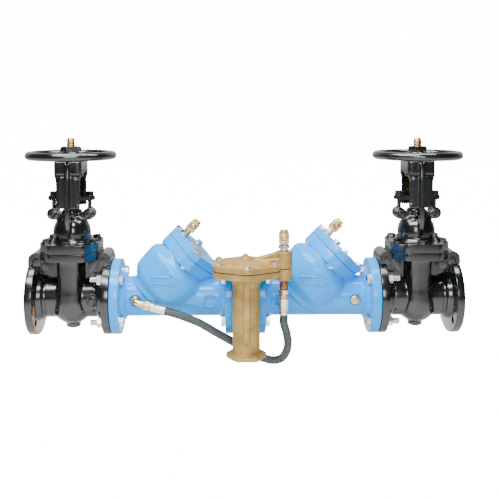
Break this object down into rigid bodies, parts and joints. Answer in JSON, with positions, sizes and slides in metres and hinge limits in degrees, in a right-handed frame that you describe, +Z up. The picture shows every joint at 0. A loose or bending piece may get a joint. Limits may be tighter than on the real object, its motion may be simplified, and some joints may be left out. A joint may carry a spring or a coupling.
{
  "type": "backflow preventer",
  "caption": "Flanged reduced-pressure backflow preventer with outside-screw gate valves, angled spring checks and a diaphragm relief valve.",
  "frame": {"origin": "on the pipe axis, in the plane of the inlet flange face", "axes": "+X along the pipe with the flow, from the inlet flange to the outlet flange; +Z up, along the gate valves' stems; the relief valve stands on the -Y side"},
  "size_m": [1.0974, 0.3311, 0.5584],
  "materials": {
    "black_paint": "gloss enamel over cast iron",
    "blue_epoxy": "gloss fusion-bonded epoxy over cast iron",
    "cast_bronze": "sand-cast bronze, matt and grainy",
    "brass": "turned brass, satin",
    "stem_bronze": "turned bronze, oiled",
    "zinc_plate": "zinc-plated steel",
    "stainless_steel": "spring and stem steel, satin",
    "graphite_packing": "braided graphite, matt",
    "gasket_sheet": "compressed fibre sheet, matt",
    "hose_rubber": "smooth dark rubber cover, dull",
    "copper_alloy": "reddish copper alloy, satin"
  },
  "bodies": {
    "assembly": {"gate_1_body": "black_paint", "gate_1_bonnet_yoke": "black_paint", "gate_1_bonnet_gasket_bolts": "zinc_plate", "gate_1_packing": "graphite_packing", "gate_1_gland_follower": "black_paint", "gate_1_eye_bolt_up": "zinc_plate", "gate_1_eye_bolt_down": "zinc_plate", "gate_1_port_plug": "black_paint", "gate_2_body": "black_paint", "gate_2_bonnet_yoke": "black_paint", "gate_2_bonnet_gasket_bolts": "zinc_plate", "gate_2_packing": "graphite_packing", "gate_2_gland_follower": "black_paint", "gate_2_eye_bolt_up": "zinc_plate", "gate_2_eye_bolt_down": "zinc_plate", "check_1_body": "blue_epoxy", "check_1_cover": "blue_epoxy", "check_1_cover_gasket_bolts": "zinc_plate", "check_1_seat_ring": "cast_bronze", "check_1_spring": "stainless_steel", "check_2_body": "blue_epoxy", "check_2_cover": "blue_epoxy", "check_2_cover_gasket_bolts": "zinc_plate", "check_2_seat_ring": "cast_bronze", "check_2_spring": "stainless_steel", "check_2_port_plug": "brass", "test_cock_1_body": "brass", "test_cock_2_body": "brass", "test_cock_3_body": "brass", "centre_spool": "cast_bronze", "relief_body": "cast_bronze", "relief_cover": "cast_bronze", "relief_diaphragm_bolts": "zinc_plate", "relief_spring": "stainless_steel", "relief_port_gasket": "gasket_sheet", "hose_elbow": "brass", "hose_end_inlet": "zinc_plate", "hose_nipple": "copper_alloy", "hose_end_relief": "zinc_plate", "sensing_hose": "hose_rubber", "inlet_joint_gasket_bolts": "zinc_plate", "centre_joint_gasket_bolts": "zinc_plate", "centre_joint_second_gasket": "gasket_sheet", "outlet_joint_gasket_bolts": "zinc_plate"},
    "gate_1_stem_and_wedge": {"gate_1_stem": "stem_bronze", "gate_1_wedge": "cast_bronze"},
    "gate_1_wheel_and_sleeve": {"gate_1_yoke_sleeve": "stem_bronze", "gate_1_handwheel": "black_paint", "gate_1_wheel_nut": "black_paint"},
    "gate_2_stem_and_wedge": {"gate_2_stem": "stem_bronze", "gate_2_wedge": "cast_bronze"},
    "gate_2_wheel_and_sleeve": {"gate_2_yoke_sleeve": "stem_bronze", "gate_2_handwheel": "black_paint", "gate_2_wheel_nut": "black_paint"},
    "check_1_disc_body": {"check_1_disc": "cast_bronze"},
    "check_2_disc_body": {"check_2_disc": "cast_bronze"},
    "test_cock_1_stem_body": {"test_cock_1_stem": "brass"},
    "test_cock_2_stem_body": {"test_cock_2_stem": "brass"},
    "test_cock_3_stem_body": {"test_cock_3_stem": "brass"},
    "relief_moving_body": {"relief_stem_disc": "stainless_steel"}
  },
  "joints": [
    {"name": "gate_1_wheel_turn", "type": "hinge", "parent": "assembly", "child": "gate_1_wheel_and_sleeve", "pos_m": [0.1016, 0, 0.3584], "axis": [0, 0, 1], "range_deg": [0, 5950]},
    {"name": "gate_1_stem_rise", "type": "slide", "parent": "assembly", "child": "gate_1_stem_and_wedge", "axis": [0, 0, 1], "range_m": [0, 0.084]},
    {"name": "gate_2_wheel_turn", "type": "hinge", "parent": "assembly", "child": "gate_2_wheel_and_sleeve", "pos_m": [0.9748, 0, 0.3584], "axis": [0, 0, 1], "range_deg": [0, 5950]},
    {"name": "gate_2_stem_rise", "type": "slide", "parent": "assembly", "child": "gate_2_stem_and_wedge", "axis": [0, 0, 1], "range_m": [0, 0.084]},
    {"name": "check_1_disc_lift", "type": "slide", "parent": "assembly", "child": "check_1_disc_body", "axis": [0.7071, 0, 0.7071], "range_m": [0, 0.02], "stiffness_N_per_m": 1500, "springref_m": -0.02, "deforming": ["check_1_spring"]},
    {"name": "check_2_disc_lift", "type": "slide", "parent": "assembly", "child": "check_2_disc_body", "axis": [0.7071, 0, 0.7071], "range_m": [0, 0.02], "stiffness_N_per_m": 1500, "springref_m": -0.02, "deforming": ["check_2_spring"]},
    {"name": "relief_stem_lift", "type": "slide", "parent": "assembly", "child": "relief_moving_body", "axis": [0, 0, 1], "range_m": [0, 0.01], "stiffness_N_per_m": 2000, "springref_m": -0.01, "deforming": ["relief_spring"]},
    {"name": "test_cock_1_turn", "type": "hinge", "parent": "assembly", "child": "test_cock_1_stem_body", "pos_m": [0.40752, 0, 0.17961], "axis": [0, 1, 0], "range_deg": [0, 90]},
    {"name": "test_cock_2_turn", "type": "hinge", "parent": "assembly", "child": "test_cock_2_stem_body", "pos_m": [0.76952, 0, 0.17961], "axis": [0, 1, 0], "range_deg": [0, 90]},
    {"name": "test_cock_3_turn", "type": "hinge", "parent": "assembly", "child": "test_cock_3_stem_body", "pos_m": [0.6282, -0.127, 0.1694], "axis": [0, 1, 0], "range_deg": [0, 90]}
  ],
  "couplings": [
    {"joint": "gate_1_stem_rise", "follows": "gate_1_wheel_turn", "m_per_rad": 0.00080851},
    {"joint": "gate_2_stem_rise", "follows": "gate_2_wheel_turn", "m_per_rad": 0.00080851}
  ]
}
